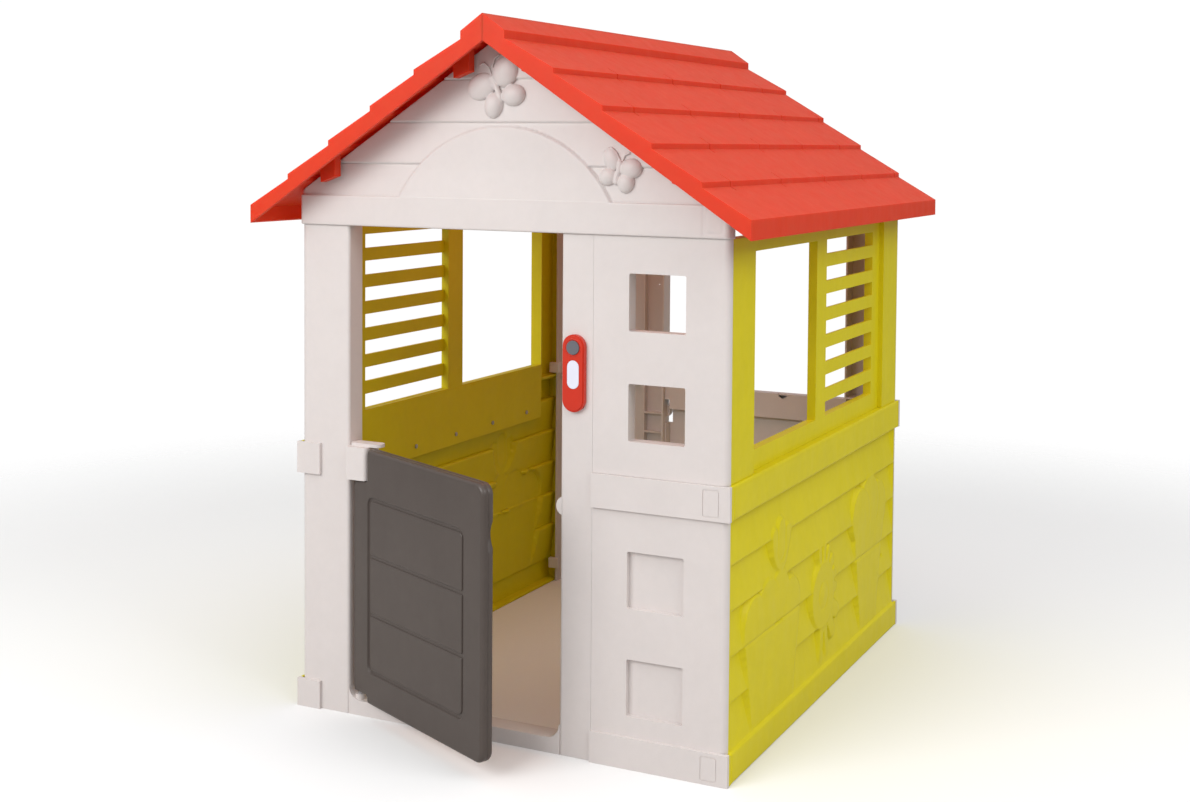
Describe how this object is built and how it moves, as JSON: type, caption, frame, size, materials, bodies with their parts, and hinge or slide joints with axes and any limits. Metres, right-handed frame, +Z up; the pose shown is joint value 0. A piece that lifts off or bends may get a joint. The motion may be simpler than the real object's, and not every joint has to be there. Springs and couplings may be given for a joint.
{
  "type": "children's playhouse",
  "caption": "Outdoor plastic playhouse with gabled tiled roof, shuttered side windows, hinged half door and push-button doorbell.",
  "frame": {"origin": "on the ground, at the middle of the whole object's footprint box at rest with the half door ajar; the walls' own centre is 48 mm behind it (+Y)", "axes": "+Z up; -Y out of the front with the half door; +X to the right seen from the front; the ridge runs along Y"},
  "size_m": [0.98, 1.1967, 1.27],
  "materials": {
    "white_plastic": "blow-moulded, satin",
    "lime_plastic": "moulded, satin",
    "red_plastic": "moulded, satin, slightly translucent",
    "grey_plastic": "moulded, satin",
    "bell_red": "glossy",
    "button_grey": "satin",
    "card_blue": "blank printed card",
    "green_board": "circuit board",
    "black_plastic": "satin",
    "steel": "zinc plated"
  },
  "bodies": {
    "house": {"front_post": "white_plastic", "front_door_frame": "white_plastic", "front_lower_panel": "white_plastic", "front_upper_panel": "white_plastic", "front_gable": "white_plastic", "back_post": "white_plastic", "back_door_frame": "white_plastic", "back_lower_panel": "white_plastic", "back_upper_panel": "white_plastic", "back_gable": "white_plastic", "back_infill_panel": "white_plastic", "right_lower_wall": "lime_plastic", "right_window_frame": "lime_plastic", "left_lower_wall": "lime_plastic", "left_window_frame": "lime_plastic", "roof_right": "red_plastic", "roof_left": "red_plastic", "roof_clips": "red_plastic", "hinge_pins": "steel", "hinge_block": "white_plastic", "bell_plate": "bell_red", "bell_spring": "steel", "bell_name_card": "card_blue", "bell_housing": "button_grey", "bell_board": "green_board", "bell_buzzer": "black_plastic", "bell_cells": "steel", "bell_battery_cover": "button_grey", "bell_screws": "steel", "corner_clips": "white_plastic", "wall_screws": "steel", "gable_screws": "steel"},
    "door": {"door_outer_shell": "grey_plastic", "door_inner_shell": "grey_plastic", "hinge_bushes": "grey_plastic"},
    "button": {"bell_button": "button_grey"}
  },
  "joints": [
    {"name": "door_hinge", "type": "hinge", "parent": "house", "child": "door", "pos_m": [-0.304, -0.422, 0], "axis": [0, 0, -1], "range_deg": [-24.2, 80.8]},
    {"name": "bell_press", "type": "slide", "parent": "house", "child": "button", "axis": [0, 1, 0], "range_m": [0, 0.0025], "stiffness_N_per_m": 400, "springref_m": -0.002, "deforming": ["bell_spring"]}
  ]
}
